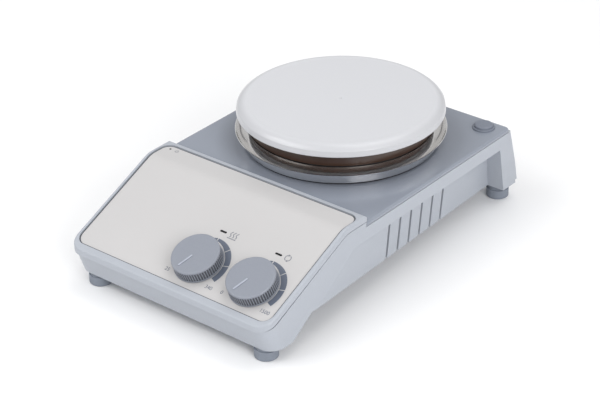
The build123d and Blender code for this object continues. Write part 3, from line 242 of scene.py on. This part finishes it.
ceramic = Surface("white_ceramic", (0.62, 0.625, 0.65), 0.3, coat=0.25)
ceramic.mottle(ceramic.noise(9, 2), (0.612, 0.618, 0.644), 0.9)
ceramic.mottle(ceramic.noise(1500, 1), (0.58, 0.585, 0.61), 0.35)
ceramic.gloss(ceramic.noise(60, 2), 0.27, 0.33)
ceramic.bump(ceramic.noise(420, 2), 0.000012)
ceramic.bump(ceramic.noise(2200, 2), 0.000008)
surfaces["white_ceramic"] = ceramic

smooth_scales = {"dark_window": 400, "capacitor_sleeve": 300, "lamp_lens": 250, "fuse_glass": 200}
for key, scale in smooth_scales.items():
    surface = surfaces[key]
    surface.mottle(surface.noise(scale), shade(surface.colour, 0.7), 0.6)
    surface.bump(surface.noise(scale * 3), 0.00001)

laminations = surfaces["lamination_steel"]
stacked = laminations.noise(1.0, 2, laminations.stretched(40, 40, 2600))
laminations.mottle(stacked, (0.10, 0.10, 0.11), 0.9).bump(stacked, 0.00005)
winding = surfaces["copper_winding"]
wires = winding.noise(1.0, 1, winding.stretched(300, 300, 2000))
winding.mottle(wires, (0.25, 0.08, 0.03), 0.9).bump(wires, 0.0001)
board = surfaces["insulation_board"]
fibres = board.noise(1.0, 6, board.stretched(300, 900, 900))
board.mottle(fibres, (0.50, 0.44, 0.34), 0.8).bump(fibres, 0.0001)
tracks = surfaces["circuit_board"]
copper = tracks.node("ShaderNodeTexVoronoi", Scale=260.0)
copper.distance = "MANHATTAN"
tracks.links.new(tracks.place, copper.inputs["Vector"])
cells = copper.outputs["Distance"]
tracks.mottle(cells, (0.03, 0.24, 0.09), 0.9).bump(cells, 0.00003)

# painted shade of the gap round the panel: a thin dark line at the panel's rim, set by the distance past a core
# inset by the corner radius
panel_lo, panel_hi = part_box("control_panel")
panel_corner = 6.5 * MM
line_start = panel_corner - 0.5 * MM
line_full = panel_corner - 0.35 * MM
panel_mid = tuple((low + high) / 2 for low, high in zip(panel_lo, panel_hi))
core_x = (panel_hi[0] - panel_lo[0]) / 2 - panel_corner
core_y = (panel_hi[1] - panel_lo[1]) / 2 - panel_corner
panel_core = (core_x, core_y, 1.0)
panel = surfaces["white_panel"]
beyond = panel.vector("ABSOLUTE", panel.vector("SUBTRACT", panel.place, panel_mid))
beyond = panel.vector("MAXIMUM", panel.vector("SUBTRACT", beyond, panel_core))
from_core = panel.vector("LENGTH", beyond)
panel_gap_shade = panel.ranged(from_core, 0.0, 1.0, line_start, line_full)
panel.mottle(panel_gap_shade, (0.075, 0.08, 0.095))

# painted shade: a slightly darker rim on the plate's rounded shoulder, and a painted shadow and reflection of the
# dish on the deck beside it
from_axis = ceramic.vector("LENGTH", ceramic.radius(*plate_axis))
plate_rim_shade = ceramic.ranged(from_axis, 0.0, 1.0, 60 * MM, 66 * MM)
ceramic.mottle(plate_rim_shade, (0.53, 0.535, 0.557))
# painted shadow and reflection of the dish: the deck's paint darkened close round it
deck = surfaces["grey_deck"]
from_axis = deck.vector("LENGTH", deck.radius(*plate_axis))
dish_shadow = deck.ranged(from_axis, 1.0, 0.0, 64 * MM, 86 * MM)
deck.mottle(dish_shadow, (0.185, 0.203, 0.242), 0.8)


knob_colour = (0.25, 0.268, 0.312)
groove_floor_r = 15.1 * MM
rib_r = 15.46 * MM
ribs_top = 7.25 * MM
ribs_end = 7.35 * MM
pointer_low = 8.8 * MM
pointer_high = 8.9 * MM


def knob_surface(name, joint_name):
    """Knob plastic with painted shade in the grooves between the ribs and a painted highlight on the pointer bar's
    top.
    """
    made = moulded(name, knob_colour, 0.36, 0.00003)
    axis = tuple(-value for value in joints[joint_name]["axis"])
    from_base = made.vector("SUBTRACT", made.place, tuple(joints[joint_name]["pos_m"]))
    along = made.vector("DOT_PRODUCT", from_base, axis)
    beside = made.vector("SUBTRACT", from_base, made.vector("PROJECT", from_base, axis))
    groove_shade = made.ranged(made.vector("LENGTH", beside), 1.0, 0.0, groove_floor_r, rib_r)
    below_edge = made.ranged(along, 1.0, 0.0, ribs_top, ribs_end)
    made.mottle(made.times(groove_shade, below_edge), shade(knob_colour, 0.34))
    # painted highlight on the pointer bar's top
    pointer_highlight = made.ranged(along, 0.0, 1.0, pointer_low, pointer_high)
    made.mottle(pointer_highlight, shade(knob_colour, 1.6))
    return made


knob_surfaces = {name: knob_surface(name, name + "_turn") for name in ("heat_knob", "stir_knob")}

for part in record["subparts"]:
    node = nodes[part["node"]]
    node.data.materials.clear()
    surface = knob_surfaces.get(part["node"], surfaces[part["material_slot"]])
    node.data.materials.append(surface.material)

ink = Surface("dial_ink", (0.105, 0.125, 0.168), 0.4)
ink.mottle(ink.noise(160, 4), (0.13, 0.15, 0.20), 0.6).bump(ink.noise(2500, 2), 0.000008)
pale_ink = Surface("label_ink", (0.20, 0.21, 0.24), 0.45)
pale_ink.mottle(pale_ink.noise(160, 4), (0.16, 0.17, 0.20), 0.6)
white_ink = Surface("rocker_ink", (0.75, 0.76, 0.76), 0.4)
white_ink.mottle(white_ink.noise(200, 3), (0.62, 0.63, 0.64), 0.5)


# ---- shading of the CAD faces ---------------------------------------------------------------
for node in nodes.values():
    split = node.modifiers.new("edge_split", "EDGE_SPLIT")
    split.split_angle = radians(32)
    node.data.shade_smooth()


# ---- printed marks --------------------------------------------------------------------------
class Print:
    """Flat marks with a little thickness, on a plane given by an origin, a right and an up."""

    def __init__(self, origin, right, up, thick=0.03 * MM):
        self.origin = Vector(origin)
        self.right = Vector(right).normalized()
        self.up = Vector(up).normalized()
        self.out = self.right.cross(self.up).normalized()
        self.thick = thick
        self.mesh = bmesh.new()

    def at(self, u, v, height=0.0):
        across = self.right * u * MM + self.up * v * MM
        return self.origin + across + self.out * (self.thick * 0.4 + height)

    def strip(self, inner, outer):
        """A band between two lines of (u, v) points of the same length."""
        tops = [[self.mesh.verts.new(self.at(*p, self.thick)) for p in line] for line in (inner, outer)]
        lows = [[self.mesh.verts.new(self.at(*p)) for p in line] for line in (inner, outer)]
        count = len(inner)
        for i in range(count - 1):
            self.mesh.faces.new((tops[0][i], tops[0][i + 1], tops[1][i + 1], tops[1][i]))
            for side, line in ((0, tops[0]), (1, tops[1])):
                low = lows[side]
                ring = (line[i], low[i], low[i + 1], line[i + 1])
                self.mesh.faces.new(ring if side == 0 else ring[::-1])
        for i in (0, count - 1):
            ring = (tops[0][i], tops[1][i], lows[1][i], lows[0][i])
            self.mesh.faces.new(ring if i == 0 else ring[::-1])

    def arc(self, centre, inner_r, outer_r, start, end, steps=24):
        """A band along a circle, clockwise from straight up; radii may be (start, end) pairs."""
        inner, outer = [], []
        for i in range(steps + 1):
            t = i / steps
            angle = radians(start + (end - start) * t)
            for line, r in ((inner, inner_r), (outer, outer_r)):
                r = r[0] + (r[1] - r[0]) * t if isinstance(r, tuple) else r
                line.append((centre[0] + r * sin(angle), centre[1] + r * cos(angle)))
        self.strip(inner, outer)

    def line(self, points, width):
        """A stroke of constant width through (u, v) points."""
        left, right = [], []
        for i, point in enumerate(points):
            before, after = points[max(i - 1, 0)], points[min(i + 1, len(points) - 1)]
            run = Vector((after[0] - before[0], after[1] - before[1])).normalized() * width / 2
            left.append((point[0] + run.y, point[1] - run.x))
            right.append((point[0] - run.y, point[1] + run.x))
        self.strip(left, right)

    def number(self, text, u, v, height):
        """Digits in the plain built-in typeface, centred on (u, v)."""
        curve = bpy.data.curves.new("digits", "FONT")
        curve.body = text
        curve.align_x = "CENTER"
        curve.align_y = "CENTER"
        curve.size = height * 1.4
        curve.resolution_u = 6
        curve.extrude = self.thick / MM / 2
        maker = bpy.data.objects.new("digits", curve)
        bpy.context.scene.collection.objects.link(maker)
        bpy.context.view_layer.update()
        flat = bpy.data.meshes.new_from_object(maker)
        spot = self.at(u, v, self.thick / 2)
        axes = Matrix((self.right * MM, self.up * MM, self.out * MM)).transposed().to_4x4()
        flat.transform(Matrix.Translation(spot) @ axes)
        self.mesh.from_mesh(flat)
        bpy.data.objects.remove(maker)

    def piece(self, name, surface, body):
        bmesh.ops.recalc_face_normals(self.mesh, faces=self.mesh.faces)
        data = bpy.data.meshes.new(name)
        self.mesh.to_mesh(data)
        data.materials.append(surface.material)
        made = bpy.data.objects.new(name, data)
        bpy.context.scene.collection.objects.link(made)
        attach(made, body)
        return made


def knob_plane(joint_name):
    joint = joints[joint_name]
    out = -Vector(joint["axis"])
    right = Vector((1, 0, 0))
    return Vector(joint["pos_m"]), right, out.cross(right)


scale_inner_r = 16.2
scale_outer_r = 20.1
scale_tip = ((19.0, 18.2), (19.3, 20.0))        # the first, tapering dash: inner and outer radii
scale_bands = ((38.8, 75.2), (76.8, 113.6))
low_spot = (-15.8, -12.4)
top_spot = (17.6, -13.0)
digit_height = 2.6
for dial, top_number, low_number in (("heat", "340", "25"), ("stir", "1500", "0")):
    origin, right, up = knob_plane(dial + "_knob_turn")
    scale_print = Print(origin, right, up)
    scale_print.arc((0, 0), *scale_tip, -11, -1.5, 8)
    scale_print.arc((0, 0), (18.0, scale_inner_r), (20.0, scale_outer_r), 0.5, 37.2)
    for start, end in scale_bands:
        scale_print.arc((0, 0), scale_inner_r, scale_outer_r, start, end)
    scale_print.piece(dial + "_scale", ink, "base")
    numbers = Print(origin, right, up)
    numbers.number(low_number, *low_spot, digit_height)
    numbers.number(top_number, *top_spot, digit_height)
    numbers.piece(dial + "_numbers", ink, "base")

sign_stroke = 0.55
heat_x, heat_low, heat_base = 7.5, 23.6, 22.8
origin, right, up = knob_plane("heat_knob_turn")
heat_sign = Print(origin, right, up)
for shift in (-2.2, 0.0, 2.2):
    wave = [(heat_x + shift + 0.55 * sin(t * pi / 5), heat_low + 0.36 * t) for t in range(13)]
    heat_sign.line(wave, sign_stroke)
heat_sign.line([(4.2, heat_base), (10.8, heat_base)], sign_stroke)
heat_sign.piece("heat_sign", pale_ink, "base")

origin, right, up = knob_plane("stir_knob_turn")
stir_sign = Print(origin, right, up)
stir_middle = (6.6, 25.4)
stir_arc_r = 2.02
for turn in (160, 340):
    stir_sign.arc(stir_middle, 1.75, 2.3, turn - 140, turn)
for turn in (160, 340):
    tip = radians(turn)
    head = (stir_middle[0] + stir_arc_r * sin(tip), stir_middle[1] + stir_arc_r * cos(tip))
    forward = Vector((cos(tip), -sin(tip)))
    outward = Vector((sin(tip), cos(tip)))
    ends = [forward * 1.3, outward * 0.85, -outward * 0.85]
    corners = [(head[0] + e.x, head[1] + e.y) for e in ends]
    stir_sign.strip([corners[0], corners[1]], [head, head])
    stir_sign.strip([corners[2], corners[0]], [head, head])
bmesh.ops.remove_doubles(stir_sign.mesh, verts=stir_sign.mesh.verts, dist=1e-7)
bmesh.ops.dissolve_degenerate(stir_sign.mesh, edges=stir_sign.mesh.edges, dist=1e-8)
stir_sign.piece("stir_sign", pale_ink, "base")

power_sign = Print((0, 0, panel_hi[2]), (1, 0, 0), (0, 1, 0))
power_x, power_y = -66.5, -43.4
power_sign.arc((power_x, power_y), 0.95, 1.3, 35, 325)
power_sign.line([(power_x, power_y), (power_x, -41.8)], 0.35)
power_sign.piece("power_sign", pale_ink, "base")

rocker = joints["power_rocker_tip"]
rocker_tilt = radians(8)
rocker_up = Vector((0, sin(-rocker_tilt), cos(rocker_tilt)))
rocker_out = Vector((0, cos(rocker_tilt), sin(rocker_tilt)))
rocker_half = 9.6                               # the rocker's half height and its end's rise
rocker_rise = 1.3
mark_from_middle = 5.2
centre = Vector(rocker["pos_m"]) + rocker_out * 2.0 * MM
for name, sign in (("rocker_bar", 1), ("rocker_ring", -1)):
    slope = Vector(rocker_up * rocker_half * MM * sign + rocker_out * rocker_rise * MM).normalized()
    spot = centre + slope * mark_from_middle * MM
    mark = Print(spot, (-1, 0, 0), slope * sign)
    if name == "rocker_bar":
        mark.line([(0, -1.6), (0, 1.6)], 0.6)
    else:
        mark.arc((0, 0), 1.2, 1.7, 0, 360, 40)
    mark.piece(name, white_ink, "rocker")

# ---- stage ----------------------------------------------------------------------------------
floor_mesh = bpy.data.meshes.new("floor")
reach = 9.0
floor_mesh.from_pydata(
    [(-reach, -reach, 0), (reach, -reach, 0), (reach, reach, 0), (-reach, reach, 0)], [], [(0, 1, 2, 3)]
)
floor = bpy.data.objects.new("floor", floor_mesh)
bpy.context.scene.collection.objects.link(floor)
paper = Surface("paper_floor", (0.93, 0.93, 0.935), 0.9, specular=0.1)
paper.mottle(paper.noise(6, 3), (0.925, 0.925, 0.93), 0.8)
floor_mesh.materials.append(paper.material)

world = bpy.data.worlds.new("studio")
bpy.context.scene.world = world
world.use_nodes = True
sky = world.node_tree
back = sky.nodes["Background"]
ray = sky.nodes.new("ShaderNodeTexCoord")
split_xyz = sky.nodes.new("ShaderNodeSeparateXYZ")
ramp = sky.nodes.new("ShaderNodeValToRGB")
sky.links.new(ray.outputs["Generated"], split_xyz.inputs[0])
sky.links.new(split_xyz.outputs["Z"], ramp.inputs["Fac"])
sky.links.new(ramp.outputs["Color"], back.inputs["Color"])
ramp.color_ramp.elements[0].position = 0.0
ramp.color_ramp.elements[0].color = (0.92, 0.93, 0.95, 1)
ramp.color_ramp.elements[1].position = 0.75
ramp.color_ramp.elements[1].color = (1.0, 1.0, 1.0, 1)
back.inputs["Strength"].default_value = 0.6


def softbox(name, azimuth, elevation, distance, width, height, power):
    """An area light aimed at the object; azimuth 0 is in front of it and 90 on its right."""
    lamp = bpy.data.lights.new(name, "AREA")
    lamp.shape = "RECTANGLE"
    lamp.size, lamp.size_y, lamp.energy = width, height, power
    holder = bpy.data.objects.new(name, lamp)
    bpy.context.scene.collection.objects.link(holder)
    az, el = radians(azimuth), radians(elevation)
    way = Vector((sin(az) * cos(el), -cos(az) * cos(el), sin(el)))
    holder.location = Vector((0, 0, 0.05)) + way * distance
    holder.rotation_euler = way.to_track_quat("Z", "Y").to_euler()
    return holder


softbox("key", -38, 48, 1.5, 1.1, 0.8, 8.6)
softbox("fill", 66, 26, 1.7, 0.9, 0.9, 13)
softbox("top", 150, 72, 1.6, 1.2, 0.9, 6)

# ---- camera ---------------------------------------------------------------------------------
azimuth, elevation, roll = radians(39.78), radians(29.80), radians(-1.22)
distance = 1.23236
target = Vector((0.01187, -0.016, 0.040))
backwards = Vector((sin(azimuth) * cos(elevation), -cos(azimuth) * cos(elevation), sin(elevation)))
level_right = Vector((cos(azimuth), sin(azimuth), 0))
level_up = backwards.cross(level_right)
cam_right = level_right * cos(roll) + level_up * sin(roll)
cam_up = level_up * cos(roll) - level_right * sin(roll)
camera_data = bpy.data.cameras.new("camera")
camera_data.sensor_width = 36
camera_data.lens = 117.53
camera = bpy.data.objects.new("camera", camera_data)
bpy.context.scene.collection.objects.link(camera)
turn = Matrix((cam_right, cam_up, backwards)).transposed().to_4x4()
camera.matrix_world = Matrix.Translation(target + backwards * distance) @ turn
bpy.context.scene.camera = camera
bpy.context.scene.view_settings.view_transform = "Standard"
bpy.context.scene.view_settings.look = "None"
